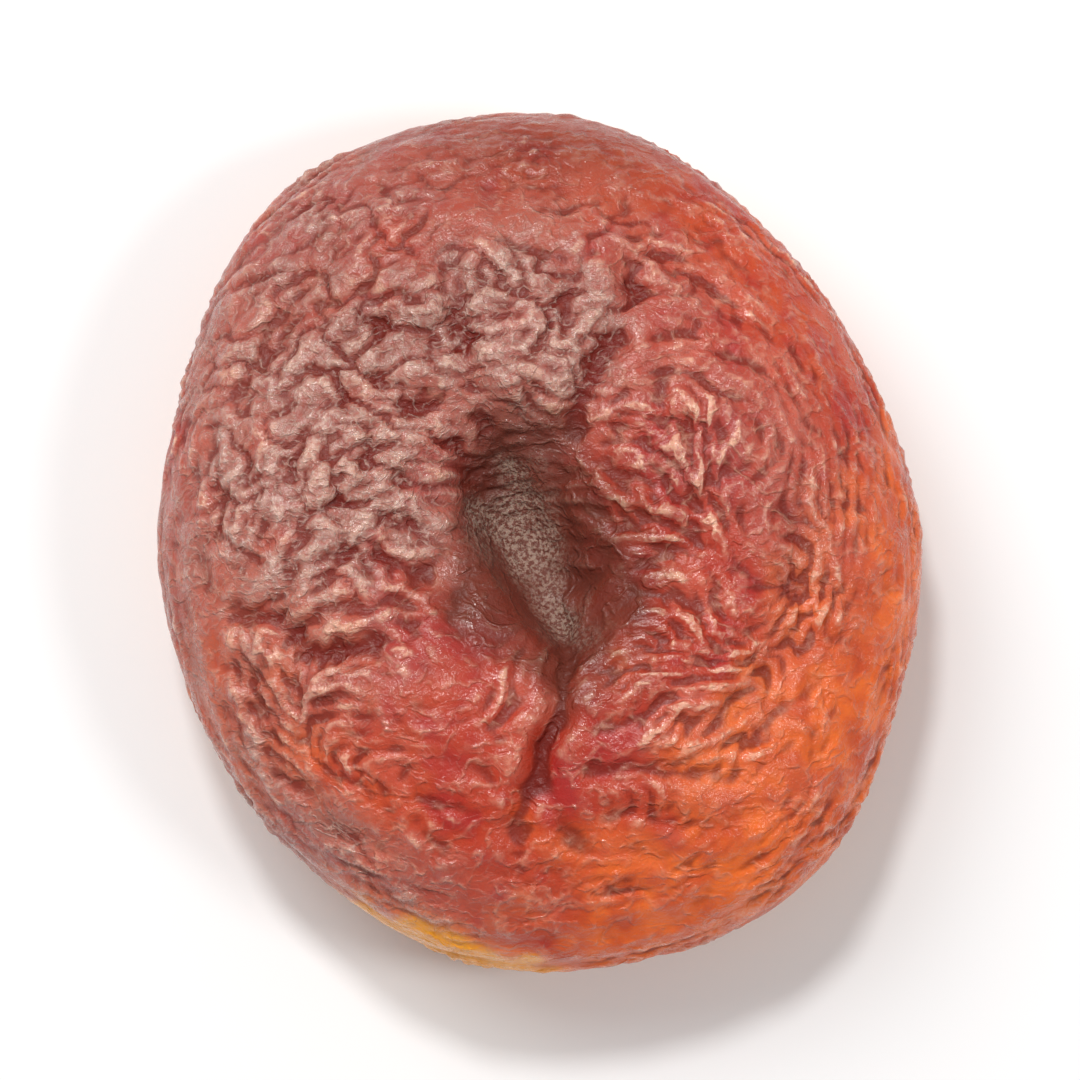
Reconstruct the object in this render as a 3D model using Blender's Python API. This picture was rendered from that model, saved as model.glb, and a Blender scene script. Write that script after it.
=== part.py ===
"""A whole dried apricot, lying on its flatter side with the stem dimple up.

The fruit is one leathery body. A cube is rounded into a sphere, and each of its points is
moved to the fruit: first a flattened cushion with a lobed outline, then the dimple, the seam
and the folds of the upper side, and last the wrinkles that cover the whole skin.
+X is to the right and +Y away from the viewer, and the fruit stands on z = 0.
"""

import math

import bmesh
import bpy
import numpy as np

MM = 0.001

# Overall size
LENGTH = 38.0 * MM
WIDTH = 33.8 * MM
HEIGHT = 14.0 * MM
REST_DEPTH = 0.35 * MM  # how much of the rounded underside is pressed flat

# The cushion that the folds are laid over
GRID = 31  # squares along each edge of the rounded cube
TOP_SHARE = 1.20  # above 1, more of the squares lie on the upper side
HALF_WIDTH = 17.8 * MM
TOP_RISE = 8.2 * MM  # from the widest level up to the crest
UNDER_DROP = 5.8 * MM  # from the widest level down to the underside
TOP_BOXINESS = 0.74  # 1 is an ellipse, and less is a squarer shoulder
UNDER_BOXINESS = 0.80
LEAN = (-0.8 * MM, -1.1 * MM)  # how far the crest sits off the middle of the widest level
LOBES = (  # the outline from above: order, swell, direction in degrees
    (2, 1.30 * MM, 107),
    (3, 0.14 * MM, 100),
    (4, 0.14 * MM, 20),
    (6, 0.16 * MM, 10),
    (8, 0.11 * MM, 40),
)

# The dimple, where the stem was, and the bowl round it
BOWL_DEPTH = 1.9 * MM
BOWL_RADIUS = 7.2 * MM
PIT_CENTRE = (-0.6 * MM, -0.9 * MM)
PIT_DEPTH = 2.7 * MM
PIT_HALF_LENGTH = 4.5 * MM
PIT_STEEP_SIDE = 1.4 * MM  # half width towards the lower left lobe
PIT_GENTLE_SIDE = 2.8 * MM  # half width towards the upper right
PIT_TURN = -60  # direction of its long axis, in degrees

# Round swellings and hollows of the upper side: x, y, height, radius
SWELLINGS = (
    (-4.6 * MM, -6.0 * MM, 1.25 * MM, 4.2 * MM),
    (6.2 * MM, -5.8 * MM, 0.60 * MM, 4.0 * MM),
    (-8.6 * MM, 3.4 * MM, 0.55 * MM, 4.2 * MM),
    (-0.7 * MM, 7.1 * MM, 1.00 * MM, 1.6 * MM),
    (8.4 * MM, 5.6 * MM, 0.50 * MM, 4.4 * MM),
    (-5.6 * MM, 11.4 * MM, 0.50 * MM, 3.0 * MM),
    (2.6 * MM, 12.6 * MM, 0.35 * MM, 2.4 * MM),
    (-11.4 * MM, 8.6 * MM, -0.40 * MM, 2.0 * MM),
    (-0.9 * MM, 3.6 * MM, -0.65 * MM, 2.3 * MM),
    (2.8 * MM, 4.6 * MM, -0.30 * MM, 2.2 * MM),
    (0.8 * MM, -4.4 * MM, -0.70 * MM, 1.3 * MM),
    (-11.4 * MM, -6.2 * MM, -0.30 * MM, 2.4 * MM),
)

# Folds pressed into the upper side: depth and half width in millimetres, then their points
FOLDS = (
    # the seam, from the dimple to the lower edge, and its fork
    (0.80, 0.50, ((1.2, -3.6), (1.1, -6.9), (0.2, -9.4), (-0.5, -11.4), (-0.9, -13.6))),
    (0.45, 0.50, ((0.3, -9.4), (0.9, -12.0), (2.2, -14.0))),
    # the two folds above the dimple, which meet beside the knob
    (0.40, 0.65, ((1.5, 2.6), (1.8, 5.0), (2.7, 7.4), (1.5, 9.2), (0.8, 11.8), (0.9, 13.8))),
    (0.50, 0.55, ((2.7, 7.2), (3.7, 9.6), (4.5, 12.2))),
    # across the left of the face
    (0.50, 0.70, ((-14.6, -2.6), (-12.0, -3.5), (-8.3, -5.2), (-6.0, -4.0))),
    (0.30, 0.60, ((-10.8, 5.2), (-8.4, 6.1), (-5.4, 5.6), (-2.8, 4.6))),
    (0.40, 0.60, ((-9.2, 8.4), (-6.0, 8.9), (-3.2, 8.7), (-2.0, 9.6))),
    (0.35, 0.60, ((-5.6, 14.4), (-3.9, 11.4), (-3.4, 8.8), (-2.6, 6.2))),
    # along the rim
    (0.40, 0.80, ((-8.6, 14.0), (-10.4, 11.0), (-11.9, 7.8), (-13.9, 5.2))),
    (0.40, 0.55, ((-13.0, -5.2), (-11.6, -8.6), (-9.4, -11.8), (-6.4, -14.4))),
    (0.35, 1.10, ((8.4, -10.4), (9.6, -7.2), (10.9, -3.6), (11.4, 0.6), (10.9, 3.4))),
    (0.40, 0.80, ((-6.2, 15.6), (-2.0, 15.4), (3.0, 14.6), (6.8, 13.4), (8.2, 10.6))),
)
FOLD_LIP = 0.30  # height of the raised lips beside a fold, as a share of its depth
FOLD_STEPS = 8  # straight steps between two points of a fold

# Slow rise and fall of the whole skin
SEED = 20
SWAY_HEIGHT = 0.28 * MM
SWAY_LENGTH = 12.0 * MM
SWAYS = 14

# Wrinkles: bands of ridges, each one a ring of waves round its own centre
WRINKLE_LENGTH = 2.0 * MM  # from ridge to ridge
WRINKLE_HEIGHT = 0.36 * MM
WRINKLE_REACH = 1.5 * MM  # how far one centre's waves spread
WRINKLE_CENTRES = 1400
SETTLE_ROUNDS = 4  # passes that line each centre's waves up with its neighbours'
FLANK_TURN = 0.45  # spread of the ridges' directions round the flank, in radians
FACE_TURN = 1.35  # and on the crumpled face
FLANK_SHARE = 0.6  # height of the wrinkles on the flank, as a share of those on the face
RIPPLES = (4.5 * MM, -9.0 * MM, 4.8 * MM)  # x, y, radius: ridges that run across the seam
CALM_SPOTS = (  # where the wrinkles are lower: x, y, radius, share taken away
    (-4.6 * MM, -6.8 * MM, 3.6 * MM, 0.60),
    (-0.5 * MM, -0.2 * MM, 3.0 * MM, 0.70),
    (1.0 * MM, 17.6 * MM, 4.0 * MM, 0.70),
    (12.0 * MM, 10.0 * MM, 4.0 * MM, 0.50),
)

SKIN_COLOUR = (0.42, 0.10, 0.045, 1.0)
SKIN_ROUGHNESS = 0.42


def bump(distance, width):
    """A smooth hill, 1 at distance 0, that fades out over the width."""
    return np.exp(-((distance / width) ** 2))


def smooth_step(low, high, value):
    """0 below low, 1 above high, and an even rise between them."""
    share = np.clip((value - low) / (high - low), 0, 1)
    return share * share * (3 - 2 * share)


def outline(angle):
    """Half width of the cushion in each direction."""
    swells = (swell * np.cos(order * (angle - math.radians(turn))) for order, swell, turn in LOBES)
    return HALF_WIDTH + sum(swells)


def meridian(share):
    """(radius, height) of the cushion's profile at an even share of its length, from top to bottom."""
    turn = np.linspace(0, math.pi, 721)
    boxiness = np.where(turn < math.pi / 2, TOP_BOXINESS, UNDER_BOXINESS)
    rise = np.where(turn < math.pi / 2, TOP_RISE, UNDER_DROP)
    radius = np.sin(turn).clip(0) ** boxiness
    height = rise * np.sign(np.cos(turn)) * np.abs(np.cos(turn)) ** boxiness
    steps = np.hypot(np.diff(radius) * HALF_WIDTH, np.diff(height))
    length = np.concatenate([[0], np.cumsum(steps)])
    length /= length[-1]
    return np.interp(share, length, radius), np.interp(share, length, height)


def fold_line(points):
    """A smooth line through the points, as close straight steps."""
    ends = [2 * points[0] - points[1], *points, 2 * points[-1] - points[-2]]
    line = []
    for before, start, stop, after in zip(ends, ends[1:], ends[2:], ends[3:]):
        for step in range(FOLD_STEPS):
            t = step / FOLD_STEPS
            line.append(
                start
                + t * (stop - before) / 2
                + t * t * (before - 2.5 * start + 2 * stop - after / 2)
                + t**3 * (1.5 * (start - stop) + (after - before) / 2)
            )
    return np.array([*line, points[-1]])


def along_line(plan, line):
    """(distance to the line, share of its length) for each plan point."""
    nearest = np.full(len(plan), np.inf)
    share = np.zeros(len(plan))
    for number, (start, stop) in enumerate(zip(line, line[1:])):
        run = stop - start
        t = np.clip((plan - start) @ run / (run @ run), 0, 1)
        distance = np.linalg.norm(plan - start - t[:, None] * run, axis=1)
        nearer = distance < nearest
        nearest[nearer] = distance[nearer]
        share[nearer] = (number + t[nearer]) / (len(line) - 1)
    return nearest, share


def folds(plan):
    """Depth of the pressed folds, with a raised lip along each side."""
    height = np.zeros(len(plan))
    for depth, width, points in FOLDS:
        line = fold_line(np.array(points) * MM)
        distance, share = along_line(plan, line)
        taper = np.sqrt(np.clip(np.sin(math.pi * (0.06 + 0.88 * share)), 0, 1))
        valley = bump(distance, width * MM)
        lips = FOLD_LIP * bump(distance - 2.1 * width * MM, 1.1 * width * MM)
        height += depth * MM * taper * (lips - valley)
    return height


def dimple(plan):
    """The stem's pit, steep on one side, in the middle of a wide bowl."""
    offset = plan - np.array(PIT_CENTRE)
    turn = math.radians(PIT_TURN)
    along = offset @ np.array([math.cos(turn), math.sin(turn)])
    across = offset @ np.array([-math.sin(turn), math.cos(turn)])
    side = smooth_step(-PIT_STEEP_SIDE, PIT_STEEP_SIDE, across)
    half_width = PIT_STEEP_SIDE + (PIT_GENTLE_SIDE - PIT_STEEP_SIDE) * side
    distance = np.hypot(along / PIT_HALF_LENGTH, across / half_width)
    bowl = bump(np.linalg.norm(offset, axis=1), BOWL_RADIUS)
    return -PIT_DEPTH * np.exp(-(distance**3)) - BOWL_DEPTH * bowl


def upper_relief(plan):
    """Height that the upper side's forms add at each plan point."""
    height = dimple(plan) + folds(plan)
    for x, y, rise, radius in SWELLINGS:
        height += rise * bump(np.hypot(plan[:, 0] - x, plan[:, 1] - y), radius)
    return height


def body(directions):
    """Points of the fruit, without its wrinkles, for unit vectors out of its middle."""
    angle = np.arctan2(directions[:, 1], directions[:, 0])
    fall = np.arccos(np.clip(directions[:, 2], -1, 1)) / math.pi
    radius, height = meridian(fall**TOP_SHARE)
    reach = radius * outline(angle)
    plan = np.column_stack([reach * np.cos(angle), reach * np.sin(angle)])
    plan += (height / TOP_RISE).clip(0)[:, None] ** 2 * np.array(LEAN)
    upper = 1 - smooth_step(0.32, 0.56, fall)
    return np.column_stack([plan, height + upper * upper_relief(plan)])


def sway(points):
    """Slow waves in every direction, so that the cushion isn't even."""
    draw = np.random.default_rng(SEED + 2)
    waves = draw.normal(0, 1, (SWAYS, 3))
    waves /= np.linalg.norm(waves, axis=1)[:, None]
    phases = draw.uniform(0, 2 * math.pi, SWAYS)
    turn = 2 * math.pi / SWAY_LENGTH * points @ waves.T + phases
    return SWAY_HEIGHT * np.sin(turn).sum(axis=1) / math.sqrt(SWAYS)


def wave_centres():
    """(centres, wave directions) of the wrinkles, spread evenly over the fruit."""
    draw = np.random.default_rng(SEED)
    number = np.arange(WRINKLE_CENTRES) + 0.5
    level = 1 - 2 * number / WRINKLE_CENTRES
    angle = math.pi * (1 + math.sqrt(5)) * number + draw.normal(0, 0.05, WRINKLE_CENTRES)
    ring = np.sqrt(1 - level**2)
    unit = np.column_stack([ring * np.cos(angle), ring * np.sin(angle), level])
    tilt = 0.01
    down = np.column_stack([level * np.cos(angle), level * np.sin(angle), -ring])
    centres = body(unit)
    downhill = body((unit + tilt * down) / math.hypot(1, tilt)) - centres
    downhill /= np.linalg.norm(downhill, axis=1)[:, None]
    around = np.column_stack([-np.sin(angle), np.cos(angle), np.zeros(WRINKLE_CENTRES)])
    face = smooth_step(0.05, 0.35, level)
    turn = draw.normal(0, 1, WRINKLE_CENTRES) * (FLANK_TURN + (FACE_TURN - FLANK_TURN) * face)
    waves = np.cos(turn)[:, None] * downhill + np.sin(turn)[:, None] * around
    x, y, radius = RIPPLES
    by_seam = face * bump(np.hypot(centres[:, 0] - x, centres[:, 1] - y), radius)
    lengthwise = np.array([0, 1, 0]) * np.sign(waves[:, 1:2])
    waves += 1.6 * by_seam[:, None] * lengthwise
    return centres, waves / np.linalg.norm(waves, axis=1)[:, None]


def waves_at(points, centres, waves, phases):
    """The summed waves at each point, as complex numbers whose angle is the wrinkle's phase."""
    offset = points[:, None, :] - centres[None, :, :]
    weight = bump(np.linalg.norm(offset, axis=2), WRINKLE_REACH)
    turn = 2 * math.pi / WRINKLE_LENGTH * np.einsum("ijk,jk->ij", offset, waves) + phases
    return (weight * np.exp(1j * turn)).sum(axis=1)


def settled_waves():
    """(centres, directions, phases), each phase lined up with its neighbours' waves."""
    centres, waves = wave_centres()
    phases = np.random.default_rng(SEED + 1).uniform(0, 2 * math.pi, len(centres))
    facing = np.sign(waves @ waves.T)
    offset = centres[:, None, :] - centres[None, :, :]
    weight = bump(np.linalg.norm(offset, axis=2), WRINKLE_REACH) * (1 - np.eye(len(centres)))
    turn = 2 * math.pi / WRINKLE_LENGTH * np.einsum("ijk,jk->ij", offset, waves)
    for _ in range(SETTLE_ROUNDS):
        for number in range(len(centres)):
            seen = facing[number] * (turn[number] + phases)
            phases[number] = np.angle((weight[number] * np.exp(1j * seen)).sum())
    return centres, waves, phases


def wrinkles(points):
    """Height of the wrinkles, round ridges with narrow valleys, over the whole skin."""
    centres, waves, phases = settled_waves()
    wave = waves_at(points, centres, waves, phases)
    ridge = np.abs(np.sin(np.angle(wave) / 2)) * math.pi / 2 - 1
    strength = np.abs(wave) / (np.abs(wave) + 0.35 * np.abs(wave).mean())
    return WRINKLE_HEIGHT * strength * ridge


def wrinkle_share(points):
    """How high the wrinkles are at each point, as a share of the highest."""
    x, y, z = points.T
    face = smooth_step(-8 * MM, 4 * MM, y - 0.7 * x) * smooth_step(4 * MM, 6 * MM, z)
    share = FLANK_SHARE + (1 - FLANK_SHARE) * face
    for spot_x, spot_y, radius, calm in CALM_SPOTS:
        share *= 1 - calm * bump(np.hypot(x - spot_x, y - spot_y), radius)
    return share


def fit_to_size(points):
    """Moves and scales the points so that the fruit has its size and stands on z = 0."""
    low, high = points.min(axis=0), points.max(axis=0)
    low[2] += REST_DEPTH
    size = np.array([WIDTH, LENGTH, HEIGHT])
    middle = (low + high) / 2
    middle[2] = low[2]
    fitted = (points - middle) * size / (high - low)
    fitted[:, 2] = fitted[:, 2].clip(0)
    return fitted


def rounded_cube():
    """A closed mesh of squares, each point on the unit sphere."""
    mesh = bmesh.new()
    bmesh.ops.create_cube(mesh, size=2)
    bmesh.ops.subdivide_edges(mesh, edges=mesh.edges[:], cuts=GRID - 1, use_grid_fill=True)
    for vertex in mesh.verts:
        vertex.co = [math.tan(side * math.pi / 4) for side in vertex.co]
        vertex.co.normalize()
    return mesh


def make_apricot():
    mesh = rounded_cube()
    smooth = body(np.array([vertex.co for vertex in mesh.verts]))
    for vertex, point in zip(mesh.verts, smooth):
        vertex.co = point
    mesh.normal_update()
    outward = np.array([vertex.normal for vertex in mesh.verts])
    height = wrinkles(smooth) * wrinkle_share(smooth) + sway(smooth) * abs(outward[:, 2])
    skin = fit_to_size(smooth + height[:, None] * outward)
    for vertex, point in zip(mesh.verts, skin):
        vertex.co = point
    bmesh.ops.triangulate(mesh, faces=mesh.faces[:], quad_method="SHORT_EDGE")
    data = bpy.data.meshes.new("apricot")
    mesh.to_mesh(data)
    mesh.free()
    data.shade_smooth()
    fruit = bpy.data.objects.new("apricot", data)
    bpy.context.scene.collection.objects.link(fruit)
    return fruit


def skin_material():
    material = bpy.data.materials.new("dried_skin")
    material.use_nodes = True
    shader = material.node_tree.nodes["Principled BSDF"]
    shader.inputs["Base Color"].default_value = SKIN_COLOUR
    shader.inputs["Roughness"].default_value = SKIN_ROUGHNESS
    shader.inputs["Metallic"].default_value = 0.0
    return material


def main():
    for old in list(bpy.data.objects):
        bpy.data.objects.remove(old)
    fruit = make_apricot()
    fruit.data.materials.append(skin_material())


main()
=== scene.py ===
"""The looks of a dried apricot: its fine skin, its colours, the light and the camera.

The skin is grown from the solid. Its mesh is made finer, and the skin is then let swell on the
firm flesh beneath it, so that it buckles into the small ridges of a shrunken fruit. Numbers for
the bloom and painted sheen, the ripeness, the painted shade and the relief are stored on its
points, and the material reads them.
The skin's lengths are in millimetres, those of the lights and the camera in metres.
"""

import math

import bmesh
import bpy
import numpy as np
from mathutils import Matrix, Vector


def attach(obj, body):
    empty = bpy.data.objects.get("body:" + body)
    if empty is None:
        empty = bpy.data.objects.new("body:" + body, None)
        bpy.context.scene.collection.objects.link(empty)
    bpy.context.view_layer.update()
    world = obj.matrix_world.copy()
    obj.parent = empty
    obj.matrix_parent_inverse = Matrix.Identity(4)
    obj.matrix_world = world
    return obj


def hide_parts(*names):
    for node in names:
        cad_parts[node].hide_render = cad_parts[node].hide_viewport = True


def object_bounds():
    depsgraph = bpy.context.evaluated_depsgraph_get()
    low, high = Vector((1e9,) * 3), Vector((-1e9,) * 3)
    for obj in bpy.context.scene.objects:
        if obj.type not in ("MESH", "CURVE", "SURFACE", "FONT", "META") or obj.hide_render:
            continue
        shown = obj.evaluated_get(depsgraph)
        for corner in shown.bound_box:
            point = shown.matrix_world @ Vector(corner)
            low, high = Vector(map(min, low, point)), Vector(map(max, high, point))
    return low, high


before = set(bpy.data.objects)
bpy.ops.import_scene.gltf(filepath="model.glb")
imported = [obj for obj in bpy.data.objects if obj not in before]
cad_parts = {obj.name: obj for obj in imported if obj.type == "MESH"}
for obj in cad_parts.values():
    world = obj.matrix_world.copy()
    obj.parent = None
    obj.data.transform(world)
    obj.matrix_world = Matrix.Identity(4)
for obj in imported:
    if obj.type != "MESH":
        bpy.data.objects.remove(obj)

CAD_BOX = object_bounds()
TO_MM = 1000.0

# The fine mesh
WELD = 0.002  # points nearer to each other than this are one
VOXEL = 0.20  # spacing of its points
EVENING_PASSES = 12
DIAGONAL_PULL = 0.5  # how much a point across a square counts, beside 1 for a side
DIAGONAL_BEND = 0.25
EVENING_HOLD = 0.85  # the share of a point's move away from the surface that is held back
SMOOTHING_STEP = 0.5
OUTWARD_PASSES = 6  # of smoothing, before the outward directions are taken
UPPER_SIDE = (4.0, 8.0)  # heights between which the underside passes into the upper side

# Slow random changes over the skin, each as how much, the spacing of its hills and its seed
CLOUD_WAVES = 40
CLOUD_WAVE_RANGE = (0.6, 1.5)  # how many waves to a hill
CLOUD_PEAK = 1.6  # a high hill, over the usual size of the waves' sum
CLOUDS = {
    "grain": (0.75, 7.0, 11),
    "growth": (0.45, 4.5, 12),
    "stiffness": (0.35, 5.0, 13),
    "rim": (1.2, 5.0, 14),
    "colour": (1.0, 6.0, 21),
    "fine colour": (1.0, 2.2, 22),
    "yellow": (0.35, 5.0, 23),
    "lump sway x": (1.0, 5.0, 31),
    "lump sway y": (1.0, 5.0, 32),
    "lump edge x": (0.35, 1.6, 33),
    "lump edge y": (0.35, 1.6, 34),
    "lump share": (0.5, 4.0, 35),
}

# The swelling skin: its stiffness and the flesh's set how far apart the ridges lie
GROWTH_STEPS = 240
STEP = 0.8
GROWTH = 0.105  # how much longer the skin would like to be
UNDERSIDE_GROWTH = 0.8  # a share of that, and so are the next three
UPPER_GROWTH_GAIN = 0.2
RIM_GROWTH_LOSS = 0.2
LEAST_GROWTH = 0.05
RIM_BIAS = 0.30  # how much of the growth goes one way, at the rim
FACE_BIAS = 0.50  # and on the face
BENDING = 0.07
FLESH = 0.005  # how hard the flesh pulls the skin back up or down
FLESH_INWARD = 1.5  # times harder where the skin is pushed in
GRIP = 0.03  # how hard the flesh stops the skin from sliding
UNEVENNESS = 0.02  # of the skin before it swells
SEED = 4

# The ridges are then narrowed, and the valleys filled a little
RIDGE_TOP = 0.14
RIDGE_SHARPNESS = 1.6
VALLEY_DEPTH = 0.6
LUMP_TOP = 0.65  # on the lumps the ridges are lowered instead, and the valleys kept

# The lumps of the firmer skin, with narrow creases between them
LUMP_WIDTH = 3.0
LUMP_LENGTH = 1.9  # in plan, along y
LUMP_COLUMNS = (-9, 6)  # counted from the middle of the fruit
LUMP_ROWS = (-6, 11)
LUMP_SCATTER = 0.42  # of their middles, as a share of a lump
LUMP_SWAY = 0.9  # how far the clouds shift the creases
LUMP_HEIGHT = 0.26
LUMP_SHARE = (0.8, 0.1)  # of that height that a lump usually has and has at least
LUMP_SINKING = 0.6  # of the whole, as a share of the height, so that the skin isn't raised
LUMP_CROWN = (0.25, 0.4)  # how high and wide, as shares of the height and of a lump
CREASE = 0.32  # its half width, as a share of a lump
LUMP_SEED = 8

# Spots on the upper side, each as x, y, size along x, size along y and how much
LUMPY = [(-7.5, 7.5, 5.5, 5.5, 1.0), (1.5, 10.5, 3.8, 3.8, 0.8), (-10.0, 0.5, 4.0, 4.0, 0.6)]
CALM = [
    (-4.6, -6.3, 3.4, 3.4, 0.55), (-1.9, -1.9, 2.8, 2.8, 0.75), (3.0, 16.5, 5.5, 5.5, 0.20),
    (4.0, -15.5, 4.5, 4.5, 0.20), (13.0, 8.0, 4.5, 4.5, 0.15), (10.5, -10.0, 4.5, 4.5, 0.20),
    (0.6, -7.0, 2.4, 2.4, 0.60), (-0.7, 6.6, 1.7, 1.7, 0.50),
]
LIVELY = [
    (6.3, -6.5, 3.6, 3.6, 0.6), (-9.5, -8.5, 4.2, 4.2, 0.55), (6.8, 3.0, 4.5, 4.5, 0.6),
    (-8.0, -2.0, 3.0, 3.0, 0.3),
]
# The skin bends more easily in these, so that its ridges are finer
FINE = [(7.5, 4.0, 4.5, 4.5, 0.4), (6.3, -5.5, 4.0, 4.0, 0.3), (-7.0, 6.0, 7.0, 6.0, 0.9)]
UPRIGHT = [(7.0, 3.5, 5.0, 5.0, 1.0)]  # the ridges run up and down in plan here, not across
UPRIGHT_TURN = 0.4 * math.pi
# Bloom spots; the one at (-0.7, 7.0) is a painted highlight on the raised knob
BLOOM_AND_SHEEN_SPOTS = [
    (-7.0, 8.0, 7.5, 5.5, 0.80), (1.0, 10.0, 5.0, 4.0, 0.75), (-12.5, 1.0, 4.5, 6.0, 0.80),
    (-7.0, 0.5, 4.0, 3.5, 0.80), (-0.7, 7.0, 1.9, 1.8, 1.20), (11.5, 0.5, 3.0, 5.0, 0.30),
    (7.0, -9.0, 4.0, 3.0, 0.15), (-11.0, -7.0, 5.0, 4.5, 0.30), (8.0, 4.5, 3.0, 3.5, 0.30),
    (-4.6, -6.3, 3.0, 3.0, 0.12),
]
ORANGE_SPOTS = [(-12.5, -7.0, 4.5, 5.0, 0.50), (-8.5, -11.0, 5.0, 4.0, 0.25)]
SHADE_SPOTS = [  # painted shade on the pit's walls, between pit and knob and on the top flank; below 0 where it is taken away, so that the knob looks lit
    (-2.0, -2.8, 2.1, 2.1, 0.90), (3.2, -1.8, 2.4, 4.0, 0.75), (0.8, -7.0, 1.3, 1.8, 0.40),
    (1.0, 17.5, 8.0, 3.0, 0.70), (-7.0, 10.0, 8.0, 5.0, 0.22), (-0.7, 3.4, 2.0, 1.9, 0.60),
    (-0.7, 7.0, 1.8, 1.8, -0.90), (-4.6, 1.5, 2.0, 2.0, -0.50),
]

# The zones of colour: where each begins and where it is full
FACE_TO_RIM = (10.0, 14.0)  # radius in plan
RIM_GROWTH_RADII = (10.0, 15.0)
# Painted sheen of the bright surroundings round the left rim, laid on in the bloom's colour
LEFT_RIM_RADII = (13.0, 15.5)
LEFT_RIM_X = (2.0, -8.0)
LEFT_RIM_Z = (1.5, 5.0)
LEFT_RIM_SHEEN = 0.6
RIGHT_RIM_RADII = (10.5, 15.5)
RIGHT_RIM_X = (-8.0, 4.0)
RIGHT_RIM_ORANGE = 0.28
LOWER_RIGHT = (0.80, -0.60)  # direction in plan of the ripest side
RIPE = (7.0, 13.5)  # how far that way
FLANK_Z = (8.0, 4.0)
FLANK_ORANGE = 0.8
YELLOW_TOP = 2.5  # height of the flank's yellow part
YELLOW_FADE = 3.5
YELLOW_SHARE = 0.62
SLIVER_EDGE = (-0.353, -0.936, 17.35)  # direction and distance in plan past which it is yellow too
SLIVER_X = -4.5  # the middle of that sliver
SLIVER_WIDTH = 5.5
PIT_CORNERS = [(-2.7, 0.6), (1.5, -4.4), (-0.5, 3.2)]  # of its floor, anticlockwise
PIT_FADE = (1.2, -0.6)  # distance from the floor's edge
# Painted shade round the pit: full at the floor's edge and gone 4.2 mm out
PIT_SHADE_FADE = (4.2, 0.0)

# What counts as a ridge, a valley or a hollow: the height over the smoothed skin. The painted shade of
# valleys and hollows and the painted highlight and sheen of ridges are full at the heights below.
CREST_PASSES = 14
HOLLOW_PASSES = 120
HOLLOW_RADII = (13.5, 10.5)  # the hollows, and the painted shade laid in them, fade out towards the rim
VALLEY = -0.07
SHEEN_RIDGE_HEIGHT = 0.11
HIGHLIGHT_RIDGE_RANGE = (0.045, 0.125)
HOLLOW = 0.20

# The material's noises, each as scale per millimetre, detail and roughness
NOISES = {
    "patches": (0.33, 2.0, 0.6),
    "mottle": (0.5, 2.0, 0.6),
    "drift": (0.9, 2.0, 0.5),
    "grains": (3.6, 3.0, 0.62),
    "specks": (6.0, 2.0, 0.7),
}
LINES_SCALE = 0.95
THREADS_SCALE = 2.1
BEND_SCALE = 0.6
BEND = 1.6  # how far the lines and threads sway
STRETCH = (0.7, 1.0, 1.0)
RELIEF = 0.00014  # of the lines, threads and grains, in metres
SCATTER_DEPTH = 0.0005  # how far red light spreads in the flesh, in metres

# Colours of the skin, and of the painted shade, highlight and sheen laid on it
RED = (0.45, 0.036, 0.015)
ORANGE = (0.86, 0.155, 0.020)
YELLOW = (0.92, 0.34, 0.015)
CRIMSON = (0.40, 0.016, 0.016)
ROSE = (0.60, 0.105, 0.060)
# Mauve bloom, also used for the painted sheen round the left rim and the knob's painted highlight
BLOOM_AND_SHEEN = (0.36, 0.145, 0.112)
# The bloom's pale threads, and the painted sheen laid on the ridge tops under the bloom
FROST_AND_SHEEN = (0.62, 0.40, 0.335)
PIT = (0.33, 0.215, 0.165)
# Painted shade: dark brown round the pit, on its walls and on the top flank
SHADE_BROWN = (0.115, 0.027, 0.016)
# Painted shade: the dark red laid into the valleys of the wrinkles and into the wider hollows
SHADE_RED = (0.16, 0.011, 0.006)
# Painted highlight: the pale cream laid on the ridge tops, the thin lines and the threads
RIDGE_HIGHLIGHT = (0.88, 0.50, 0.34)

# Floor, light and camera
FLOOR_WIDTH = 2.0
FLOOR_COLOUR = (0.9, 0.9, 0.9, 1)
BACKDROP = 0.37
LIGHTS = {  # place, width and power
    "key": ((-0.15, 0.15, 0.28), 0.20, 0.48),
    "sparkle": ((-0.04, 0.16, 0.33), 0.05, 0.52),
    "fill": ((0.16, -0.02, 0.26), 0.06, 0.20),
}
ELEVATION = 87.0
FRAME_SHARE = 0.80  # of the frame's height that the fruit fills
LENS = 180
NEAREST_SEEN = 0.01


def smooth_step(low, high, value):
    """0 up to low, 1 from high on, and an even rise between them; low may be the greater."""
    share = np.clip((value - low) / (high - low), 0, 1)
    return share * share * (3 - 2 * share)


def bump(distance, width):
    """A smooth hill, 1 at distance 0, that fades out over the width."""
    return np.exp(-((distance / width) ** 2))


def unit(vectors):
    return vectors / (np.linalg.norm(vectors, axis=1)[:, None] + 1e-9)


def radius_of(points):
    """The distance in plan from the middle of the fruit."""
    return np.hypot(points[:, 0], points[:, 1])


def cloudy(points, cloud):
    """Slow random rise and fall over the points, about as much up as down."""
    how_much, spacing, seed = CLOUDS[cloud]
    draw = np.random.default_rng(seed)
    waves = unit(draw.normal(0, 1, (CLOUD_WAVES, 3))) * draw.uniform(*CLOUD_WAVE_RANGE, (CLOUD_WAVES, 1))
    turn = 2 * math.pi / spacing * points @ waves.T + draw.uniform(0, 2 * math.pi, CLOUD_WAVES)
    return how_much * (np.sin(turn).sum(axis=1) * math.sqrt(2 / CLOUD_WAVES) / CLOUD_PEAK)


def upper(points):
    """1 on the upper side, 0 on the underside."""
    return smooth_step(*UPPER_SIDE, points[:, 2])


def in_spots(points, spots):
    """The sum of the spots on the upper side, each fading out over its size."""
    x, y = points[:, 0], points[:, 1]
    total = sum(
        how_much * bump(np.hypot((x - spot_x) / size_x, (y - spot_y) / size_y), 1)
        for spot_x, spot_y, size_x, size_y, how_much in spots
    )
    return total * upper(points)


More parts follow.
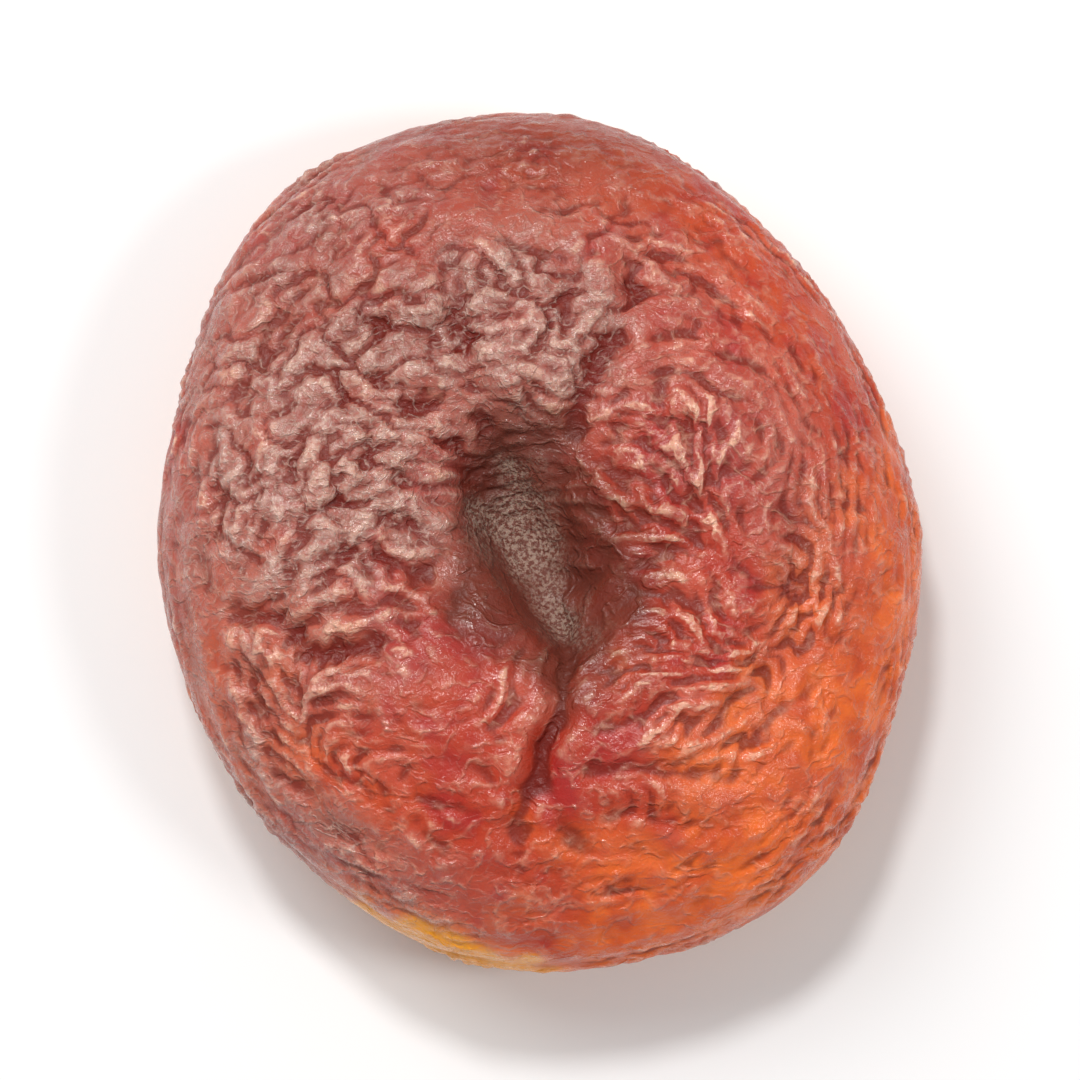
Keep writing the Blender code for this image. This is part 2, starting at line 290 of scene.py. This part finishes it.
def fine_mesh(node):
    """(points, quads) of the node's form in millimetres, evenly spaced."""
    form = bmesh.new()
    form.from_mesh(node.data)
    for vertex in form.verts:
        vertex.co *= TO_MM
    bmesh.ops.remove_doubles(form, verts=form.verts[:], dist=WELD)
    bmesh.ops.join_triangles(
        form, faces=form.faces[:], angle_face_threshold=math.pi, angle_shape_threshold=math.pi
    )
    data = bpy.data.meshes.new("form")
    form.to_mesh(data)
    form.free()
    helper = bpy.data.objects.new("form", data)
    bpy.context.scene.collection.objects.link(helper)
    helper.modifiers.new("rounding", "SUBSURF").levels = 2
    even = helper.modifiers.new("even", "REMESH")
    even.mode = "VOXEL"
    even.voxel_size = VOXEL
    made = helper.evaluated_get(bpy.context.evaluated_depsgraph_get()).to_mesh()
    points = np.empty(len(made.vertices) * 3)
    made.vertices.foreach_get("co", points)
    quads = np.empty(len(made.loops), int)
    made.loops.foreach_get("vertex_index", quads)
    bpy.data.objects.remove(helper)
    return points.reshape(-1, 3), quads.reshape(-1, 4)


class Net:
    """The fine mesh as a net: each point with its neighbours along the squares' sides and diagonals."""

    def __init__(self, quads, count):
        sides = np.concatenate([quads[:, [k, (k + 1) % 4]] for k in range(4)])
        sides = np.unique(np.sort(sides, axis=1), axis=0)
        diagonals = np.concatenate([quads[:, [0, 2]], quads[:, [1, 3]]])
        links = np.concatenate([sides, sides[:, ::-1], diagonals, diagonals[:, ::-1]])
        is_side = np.arange(len(links)) < 2 * len(sides)
        order = np.argsort(links[:, 0], kind="stable")
        links, is_side = links[order], is_side[order]
        starts = np.searchsorted(links[:, 0], np.arange(count))
        place = np.arange(len(links)) - starts[links[:, 0]]
        self.quads = quads
        self.neighbours = np.tile(np.arange(count)[:, None], (1, place.max() + 1))
        self.neighbours[links[:, 0], place] = links[:, 1]
        self.pull_share = self.shares(links, place, np.where(is_side, 1, DIAGONAL_PULL))
        self.bend_share = self.shares(links, place, np.where(is_side, 1, DIAGONAL_BEND))

    def shares(self, links, place, weight):
        """A neighbour's share of what acts on a point, for each point and neighbour."""
        share = np.zeros(self.neighbours.shape, np.float32)
        share[links[:, 0], place] = weight
        return share / share.sum(axis=1)[:, None]

    def runs(self, points):
        """From each point to each of its neighbours."""
        return points[self.neighbours] - points[:, None, :]

    def to_middle(self, points):
        """From each point to the middle of its neighbours."""
        return np.einsum("ijk,ij->ik", self.runs(points), self.bend_share)

    def curl(self, height):
        """How far each point's neighbours lie above it on average."""
        return np.einsum("ij,ij->i", height[self.neighbours], self.bend_share) - height

    def normals(self, points):
        a, b, c, d = (points[self.quads[:, k]] for k in range(4))
        area = np.cross(c - a, d - b)
        total = np.zeros_like(points)
        for k in range(4):
            for axis in range(3):
                total[:, axis] += np.bincount(self.quads[:, k], area[:, axis], len(points))
        return unit(total)

    def smoothed(self, points, passes):
        for _ in range(passes):
            points = points + SMOOTHING_STEP * self.to_middle(points)
        return points

    def evened(self, points, passes):
        """The points moved along the surface until they are evenly spaced."""
        for _ in range(passes):
            pull = self.to_middle(points)
            out = self.normals(points)
            pull -= (pull * out).sum(axis=1)[:, None] * out * EVENING_HOLD
            points = points + SMOOTHING_STEP * pull
        return points


def lumps(base):
    """The height of wide, flat lumps with narrow creases between them, on part of the upper side."""
    height = np.zeros(len(base))
    usual, least = LUMP_SHARE
    share = in_spots(base, LUMPY).clip(0, 1) * (usual + cloudy(base, "lump share")).clip(least)
    inside = share > 0.02
    some = base[inside]
    draw = np.random.default_rng(LUMP_SEED)
    columns, rows = np.meshgrid(np.arange(*LUMP_COLUMNS), np.arange(*LUMP_ROWS))
    centres = np.column_stack([columns.ravel() + 0.5 * (rows.ravel() % 2), rows.ravel()])
    centres = centres + draw.uniform(-LUMP_SCATTER, LUMP_SCATTER, centres.shape)
    sway = [cloudy(some, "lump sway " + axis) + cloudy(some, "lump edge " + axis) for axis in "xy"]
    place = (some[:, :2] + LUMP_SWAY * np.column_stack(sway)) / (LUMP_WIDTH, LUMP_LENGTH)
    apart = np.linalg.norm(place[:, None] - centres, axis=2)
    nearest, second = np.partition(apart, 1, axis=1)[:, :2].T
    crown, crown_width = LUMP_CROWN
    rise = smooth_step(0, CREASE, second - nearest) - LUMP_SINKING + crown * bump(nearest, crown_width)
    height[inside] = share[inside] * rise
    return LUMP_HEIGHT * height


def rim_of(base):
    """1 round the rim and on the flank, 0 on the face."""
    return smooth_step(*FACE_TO_RIM, radius_of(base) + cloudy(base, "rim"))


def growth_on(base):
    """How much longer the skin would like to be at each point."""
    less = RIM_GROWTH_LOSS * smooth_step(*RIM_GROWTH_RADII, radius_of(base))
    share = 1.0 + cloudy(base, "growth") - less
    share += in_spots(base, LIVELY) - in_spots(base, CALM)
    return GROWTH * share.clip(LEAST_GROWTH) * (UNDERSIDE_GROWTH + UPPER_GROWTH_GAIN * upper(base))


def grain_on(base, out):
    """The direction along the skin in which it grows most: the ridges run across it."""
    turn = math.pi / 2 + cloudy(base, "grain") - UPRIGHT_TURN * in_spots(base, UPRIGHT)
    grain = np.column_stack([np.cos(turn), np.sin(turn), 0 * turn])
    rim = rim_of(base)[:, None]
    grain = (1 - rim) * grain + rim * unit(base * [1, 1, 0])
    return unit(np.cross(np.cross(out, grain), out))


def swollen(net, base, growth, grain, bending):
    """The skin after it has grown on the flesh, buckled across its grain."""
    draw = np.random.default_rng(SEED)
    out = net.normals(base).astype(np.float32)
    base = base.astype(np.float32)
    run = net.runs(base)
    rest = np.linalg.norm(run, axis=2) + 1e-6
    along = (np.einsum("ijk,ik->ij", run, grain) / rest) ** 2
    bias = (FACE_BIAS + (RIM_BIAS - FACE_BIAS) * rim_of(base))[:, None]
    rest *= 1 + growth[:, None] * (1 - bias + 2 * bias * along)
    rest, bending = rest.astype(np.float32), bending.astype(np.float32)
    skin = base + draw.normal(0, UNEVENNESS, len(base)).astype(np.float32)[:, None] * out
    for _ in range(GROWTH_STEPS):
        run = net.runs(skin)
        length = np.sqrt(np.einsum("ijk,ijk->ij", run, run)) + 1e-6
        force = np.einsum("ijk,ij->ik", run, net.pull_share * (1 - rest / length))
        moved = skin - base
        height = np.einsum("ij,ij->i", moved, out)
        lift = -bending * net.curl(net.curl(height))
        lift += (GRIP - FLESH * np.where(height < 0, FLESH_INWARD, 1)) * height
        skin = skin + STEP * (force - GRIP * moved + lift[:, None] * out)
    return skin


def thinned(rise, lumpy):
    """The ridges made narrower and the valleys shallower, but flat tops and narrow creases on lumps."""
    ridge = RIDGE_TOP * (rise.clip(0) / RIDGE_TOP) ** RIDGE_SHARPNESS
    usual = np.where(rise > 0, ridge, VALLEY_DEPTH * rise)
    flat = np.where(rise > 0, LUMP_TOP * rise, rise)
    return usual + lumpy * (flat - usual)


def wrinkled(net, base, out):
    """The skin with its ridges, from the bare form."""
    bending = BENDING * np.exp(cloudy(base, "stiffness") - in_spots(base, FINE))
    skin = swollen(net, base, growth_on(base), grain_on(base, out), bending)
    rise = ((skin - base) * out).sum(axis=1)
    lumpy = in_spots(base, LUMPY).clip(0, 1)
    return skin + (thinned(rise, lumpy) - rise)[:, None] * out


def triangle_edge(points, corners):
    """The distance in plan from a triangle's edges, below 0 inside it."""
    inside = np.full(len(points), True)
    nearest = np.full(len(points), np.inf)
    for first, second in zip(corners, corners[1:] + corners[:1]):
        run = np.subtract(second, first)
        away = points[:, :2] - first
        share = (away @ run / (run @ run)).clip(0, 1)
        nearest = np.minimum(nearest, np.linalg.norm(away - share[:, None] * run, axis=1))
        inside &= away @ (run[1], -run[0]) < 0
    return np.where(inside, -nearest, nearest)


def bloom_and_sheen_on(base, wobble, small_wobble):
    """The pale bloom in its spots, with a painted highlight on the raised knob and painted sheen of the
    bright surroundings round the left rim.
    """
    x, _, z = base.T
    left_rim = smooth_step(*LEFT_RIM_RADII, radius_of(base)) * smooth_step(*LEFT_RIM_X, x)
    left_rim *= smooth_step(*LEFT_RIM_Z, z)
    bloom_and_sheen = np.maximum(in_spots(base, BLOOM_AND_SHEEN_SPOTS).clip(0, 1.1), LEFT_RIM_SHEEN * left_rim)
    return bloom_and_sheen * (1 + 0.22 * wobble + 0.28 * small_wobble)


def orange_on(base, wobble, small_wobble):
    """The ripe orange, at the lower right, round the right rim, in its spots and on the flank."""
    x, y, z = base.T
    along_x, along_y = LOWER_RIGHT
    lower_right = along_x * x + along_y * y + 1.8 * wobble + 0.8 * small_wobble
    right_rim = smooth_step(*RIGHT_RIM_RADII, radius_of(base) + wobble) * smooth_step(*RIGHT_RIM_X, x)
    orange = np.maximum(smooth_step(*RIPE, lower_right), RIGHT_RIM_ORANGE * right_rim)
    orange = np.maximum(orange, in_spots(base, ORANGE_SPOTS))
    return np.maximum(orange, FLANK_ORANGE * smooth_step(*FLANK_Z, z + wobble))


def yellow_on(base, wobble, small_wobble):
    """The yellow of the flank and the underside."""
    above = base[:, 2] + 0.9 * wobble + 0.4 * small_wobble - YELLOW_TOP
    return smooth_step(YELLOW_FADE, 0.0, above) * (YELLOW_SHARE + cloudy(base, "yellow"))


def sliver(base, wobble, small_wobble):
    """(yellow, orange) at the lower left edge, where the flank's yellow reaches higher."""
    x, y, _ = base.T
    along_x, along_y, edge = SLIVER_EDGE
    past = along_x * x + along_y * y + 0.25 * small_wobble - edge
    here = bump(x - SLIVER_X + wobble, SLIVER_WIDTH)
    yellow = smooth_step(-0.15, 0.45, past) * smooth_step(0.2, 0.6, here)
    orange = smooth_step(-1.2, 0.0, past) * smooth_step(0.05, 0.5, here)
    return yellow, orange


def colour_zones(base):
    """How much of each colour every point has, 0 to 1."""
    wobbles = cloudy(base, "colour"), cloudy(base, "fine colour")
    sliver_yellow, sliver_orange = sliver(base, *wobbles)
    yellow = np.maximum(yellow_on(base, *wobbles), sliver_yellow)
    orange = np.maximum(orange_on(base, *wobbles), sliver_orange)
    bloom_and_sheen = bloom_and_sheen_on(base, *wobbles) * (1 - yellow)

    wobble, small_wobble = wobbles
    pit_edge = triangle_edge(base, PIT_CORNERS) + 0.5 * small_wobble
    pit = upper(base) * smooth_step(*PIT_FADE, pit_edge)
    painted_shade = upper(base) * smooth_step(*PIT_SHADE_FADE, pit_edge + 0.5 * wobble)
    painted_shade = painted_shade + in_spots(base, SHADE_SPOTS)
    return {"bloom_and_sheen": bloom_and_sheen, "orange": orange, "yellow": yellow, "pit": pit, "painted_shade": painted_shade}


def store(data, name, values):
    """Keep a number for each point, for the material to read."""
    stored = data.attributes.new(name, "FLOAT", "POINT")
    stored.data.foreach_set("value", values.astype(np.float32))


def make_skin():
    base, quads = fine_mesh(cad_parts["apricot"])
    net = Net(quads, len(base))
    base = net.evened(base, EVENING_PASSES)
    base = base + lumps(base)[:, None] * net.normals(base)
    out = net.normals(net.smoothed(base, OUTWARD_PASSES))
    skin = wrinkled(net, base, out)
    skin = np.column_stack([skin[:, :2], skin[:, 2].clip(0)])

    data = bpy.data.meshes.new("skin")
    data.from_pydata((skin / TO_MM).tolist(), [], quads.tolist())
    data.shade_smooth()
    store(data, "crest", ((skin - net.smoothed(skin, CREST_PASSES)) * out).sum(axis=1))
    hollow = ((net.smoothed(base, HOLLOW_PASSES) - base) * out).sum(axis=1)
    store(data, "hollow", hollow * smooth_step(*HOLLOW_RADII, radius_of(base)))
    for name, values in colour_zones(base).items():
        store(data, name, values.clip(0, 1))
    piece = bpy.data.objects.new("skin", data)
    bpy.context.scene.collection.objects.link(piece)
    return piece


class Recipe:
    """A material's nodes, made and joined in short calls."""

    def __init__(self, name):
        self.material = bpy.data.materials.new(name)
        self.material.use_nodes = True
        self.tree = self.material.node_tree
        self.shader = self.tree.nodes["Principled BSDF"]

    def node(self, kind, settings=None, **inputs):
        """A new node; an input is named, or numbered as _0, _1 and so on."""
        made = self.tree.nodes.new("ShaderNode" + kind)
        for name, value in (settings or {}).items():
            setattr(made, name, value)
        for name, value in inputs.items():
            self.feed(made.inputs[int(name[1:]) if name[0] == "_" else name], value)
        return made

    def feed(self, socket, value):
        if isinstance(value, bpy.types.NodeSocket):
            self.tree.links.new(value, socket)
        else:
            socket.default_value = value

    def set(self, **values):
        """Set the shader's own sockets, with _ for a space in their names."""
        for name, value in values.items():
            self.feed(self.shader.inputs[name.replace("_", " ")], value)

    def stored(self, name):
        return self.node("Attribute", {"attribute_name": name}).outputs["Fac"]

    def vector(self, operation, first, second=None, scale=None):
        made = self.node("VectorMath", {"operation": operation}, _0=first)
        if second is not None:
            self.feed(made.inputs[1], second)
        if scale is not None:
            self.feed(made.inputs["Scale"], scale)
        return made.outputs[0]

    def plus(self, first, *others):
        for other in others:
            first = self.node("Math", {"operation": "ADD"}, _0=first, _1=other).outputs[0]
        return first

    def times(self, first, *others):
        for other in others:
            first = self.node("Math", {"operation": "MULTIPLY"}, _0=first, _1=other).outputs[0]
        return first

    def ramp(self, value, low, high, to_low=0.0, to_high=1.0):
        """Carries the value from low..high to to_low..to_high, smoothly and no further."""
        made = self.node("MapRange", {"interpolation_type": "SMOOTHSTEP"}, _0=value)
        for place, number in enumerate((low, high, to_low, to_high), start=1):
            made.inputs[place].default_value = number
        return made.outputs[0]

    def blend(self, share, first, second):
        made = self.node("Mix", {"data_type": "RGBA"})
        inputs = {socket.identifier: socket for socket in made.inputs}
        self.feed(inputs["Factor_Float"], share)
        for name, value in (("A_Color", first), ("B_Color", second)):
            self.feed(inputs[name], (*value, 1) if isinstance(value, tuple) else value)
        return next(socket for socket in made.outputs if socket.identifier == "Result_Color")

    def noise(self, place, name):
        scale, detail, roughness = NOISES[name]
        made = self.node("TexNoise", Vector=place, Scale=scale, Detail=detail, Roughness=roughness)
        return made.outputs["Fac"]


def bent(recipe, place):
    """The place shifted to and fro, so that what is drawn there bends, and drawn out along x."""
    bend = recipe.node("TexNoise", Vector=place, Scale=BEND_SCALE, Detail=2.0).outputs["Color"]
    bend = recipe.vector("SCALE", recipe.vector("SUBTRACT", bend, (0.5, 0.5, 0.5)), scale=BEND)
    return recipe.vector("MULTIPLY", recipe.vector("ADD", place, bend), STRETCH)


def ridged(recipe, place, scale):
    """A net of thin lines, as a noise that peaks along them."""
    made = recipe.node(
        "TexNoise", {"noise_type": "RIDGED_MULTIFRACTAL"}, Vector=place, Scale=scale, Detail=2.0,
        Roughness=0.55, Lacunarity=2.1, Offset=0.9, Gain=1.6,
    )
    return made.outputs["Fac"]


def flesh_colour(recipe, place, orange, yellow):
    """Red to orange and yellow by ripeness, with patches of crimson and rose on the red."""
    ripe = recipe.times(orange, recipe.ramp(recipe.noise(place, "mottle"), 0.35, 0.62, 0.45, 1.0))
    colour = recipe.blend(ripe, RED, ORANGE)
    patches = recipe.noise(place, "patches")
    red_share = recipe.ramp(orange, 0.0, 0.6, 1.0, 0.3)
    crimson = recipe.times(red_share, recipe.ramp(patches, 0.50, 0.36, 0.0, 0.8))
    colour = recipe.blend(crimson, colour, CRIMSON)
    rose = recipe.times(red_share, recipe.ramp(patches, 0.52, 0.66, 0.0, 0.7))
    colour = recipe.blend(rose, colour, ROSE)
    return recipe.blend(yellow, colour, YELLOW)


def skin_colour(recipe, place, lines, threads, grains, drift):
    """The flesh's colour under bloom and painted sheen, with painted shade in the valleys and hollows,
    painted highlight on the ridges and painted brown shade round the pit.
    """
    crest, hollow = recipe.stored("crest"), recipe.stored("hollow")
    bloom_and_sheen, orange, yellow = recipe.stored("bloom_and_sheen"), recipe.stored("orange"), recipe.stored("yellow")
    pit, painted_shade = recipe.stored("pit"), recipe.stored("painted_shade")
    grainy = recipe.ramp(grains, 0.38, 0.56, 0.4, 1.0)

    colour = flesh_colour(recipe, place, orange, yellow)
    # Mauve bloom, with the left rim's painted sheen and the knob's painted highlight
    dusty_and_sheen = recipe.times(bloom_and_sheen, recipe.ramp(grains, 0.35, 0.58, 0.7, 1.0))
    colour = recipe.blend(dusty_and_sheen, colour, BLOOM_AND_SHEEN)
    less_on_yellow = recipe.ramp(yellow, 0.0, 1.0, 1.0, 0.4)
    # Painted shade: the valleys and the wider hollows darkened towards a deep red
    valley_shade = recipe.times(recipe.ramp(crest, 0.0, VALLEY, 0.0, 0.75), less_on_yellow)
    colour = recipe.blend(valley_shade, colour, SHADE_RED)
    colour = recipe.blend(recipe.ramp(hollow, 0.0, HOLLOW, 0.0, 0.85), colour, SHADE_RED)

    # The bloom's pale threads, with painted sheen on its ridge tops
    frost_and_sheen = recipe.plus(recipe.times(threads, 0.50), recipe.ramp(crest, 0.0, SHEEN_RIDGE_HEIGHT, 0.0, 0.50))
    frost_and_sheen = recipe.times(frost_and_sheen, dusty_and_sheen, recipe.ramp(bloom_and_sheen, 0.5, 1.0, 0.8, 1.2), grainy)
    colour = recipe.blend(frost_and_sheen, colour, FROST_AND_SHEEN)

    # Painted highlight: ridge tops, lines and threads paled towards cream, less of it in the hollows
    ridge = recipe.plus(
        recipe.ramp(crest, *HIGHLIGHT_RIDGE_RANGE, 0.0, 0.70), recipe.times(lines, 0.28), recipe.times(threads, 0.06)
    )
    ridge = recipe.times(
        ridge, recipe.ramp(drift, 0.36, 0.60, 0.25, 1.0), grainy,
        recipe.ramp(orange, 0.0, 1.0, 1.0, 0.7), recipe.ramp(bloom_and_sheen, 0.2, 1.0, 1.0, 0.3),
        recipe.ramp(yellow, 0.0, 1.0, 1.0, 0.3), recipe.ramp(hollow, 0.03, 0.16, 1.0, 0.0),
    )
    colour = recipe.blend(ridge, colour, RIDGE_HIGHLIGHT)

    # Painted shade: brown round the pit, on its walls and on the top flank
    colour = recipe.blend(recipe.times(painted_shade, 0.82), colour, SHADE_BROWN)
    specks = recipe.ramp(recipe.noise(place, "specks"), 0.42, 0.60, 0.12, 1.0)
    return recipe.blend(recipe.times(pit, specks), colour, PIT)


def skin_relief(recipe, lines, threads, grains, bloom_and_sheen, pit):
    """The finest relief, which the mesh is too coarse for: grainier under the bloom and painted sheen, and in
    the pit.
    """
    graininess = recipe.plus(recipe.times(bloom_and_sheen, 0.30), pit, 0.42)
    thread_height = recipe.plus(recipe.times(bloom_and_sheen, 0.20), 0.08)
    height = recipe.plus(
        recipe.times(lines, 0.42), recipe.times(grains, graininess), recipe.times(threads, thread_height)
    )
    return recipe.node("Bump", Height=height, Strength=1.0, Distance=RELIEF).outputs[0]


def skin_material():
    """The dried skin, with a coat of gloss on its ridges and duller valleys."""
    recipe = Recipe("dried_skin")
    place = recipe.vector("SCALE", recipe.node("TexCoord").outputs["Object"], scale=TO_MM)
    wavy = bent(recipe, place)
    lines = recipe.ramp(ridged(recipe, wavy, LINES_SCALE), 0.70, 1.45)
    threads = recipe.ramp(ridged(recipe, wavy, THREADS_SCALE), 0.75, 1.40)
    drift, grains = recipe.noise(place, "drift"), recipe.noise(place, "grains")
    bloom_and_sheen, pit, crest = recipe.stored("bloom_and_sheen"), recipe.stored("pit"), recipe.stored("crest")

    relief = skin_relief(recipe, lines, threads, grains, bloom_and_sheen, pit)
    roughness = recipe.plus(
        recipe.ramp(grains, 0.34, 0.62, 0.34, 0.22), recipe.times(pit, 0.18),
        recipe.ramp(crest, -0.06, 0.06, 0.14, 0.0),
    )
    gloss = recipe.times(recipe.ramp(drift, 0.35, 0.6, 0.5, 1.0), recipe.ramp(crest, -0.04, 0.06, 0.08, 0.75))
    recipe.set(
        Base_Color=skin_colour(recipe, place, lines, threads, grains, drift), Roughness=roughness,
        Normal=relief, Coat_Normal=relief, IOR=1.32, Coat_Weight=gloss, Coat_Roughness=0.13,
        Subsurface_Weight=0.15, Subsurface_Radius=(1.0, 0.22, 0.10), Subsurface_Scale=SCATTER_DEPTH,
    )
    return recipe.material


def make_floor():
    bpy.ops.mesh.primitive_plane_add(size=FLOOR_WIDTH)
    floor = bpy.context.object
    floor.name = "floor"
    recipe = Recipe("floor")
    recipe.set(Base_Color=FLOOR_COLOUR, Roughness=0.8)
    floor.data.materials.append(recipe.material)


def make_world():
    world = bpy.data.worlds.new("studio")
    bpy.context.scene.world = world
    world.use_nodes = True
    backdrop = world.node_tree.nodes["Background"]
    backdrop.inputs["Color"].default_value = (1, 1, 1, 1)
    backdrop.inputs["Strength"].default_value = BACKDROP


def aim(thing, place, target):
    thing.location = place
    thing.rotation_mode = "QUATERNION"
    thing.rotation_quaternion = (Vector(target) - Vector(place)).to_track_quat("-Z", "Y")
    bpy.context.scene.collection.objects.link(thing)


def make_light(name, place, width, power, target):
    lamp = bpy.data.lights.new(name, "AREA")
    lamp.shape = "DISK"
    lamp.size = width
    lamp.energy = power
    aim(bpy.data.objects.new(name, lamp), place, target)


def make_camera():
    """A camera nearly straight above the fruit."""
    lens = bpy.data.cameras.new("camera")
    lens.lens = LENS
    lens.clip_start = NEAREST_SEEN
    low, high = CAD_BOX
    middle = (low + high) / 2
    distance = (high - low).y / FRAME_SHARE * lens.lens / lens.sensor_width
    elevation = math.radians(ELEVATION)
    camera = bpy.data.objects.new("camera", lens)
    aim(camera, middle + distance * Vector((0, -math.cos(elevation), math.sin(elevation))), middle)
    bpy.context.scene.camera = camera


skin = make_skin()
skin.data.materials.append(skin_material())
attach(skin, "root")
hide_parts("apricot")

make_floor()
make_world()
for light_name, (light_place, light_width, light_power) in LIGHTS.items():
    make_light(light_name, light_place, light_width, light_power, (CAD_BOX[0] + CAD_BOX[1]) / 2)
make_camera()
bpy.context.scene.view_settings.view_transform = "Standard"
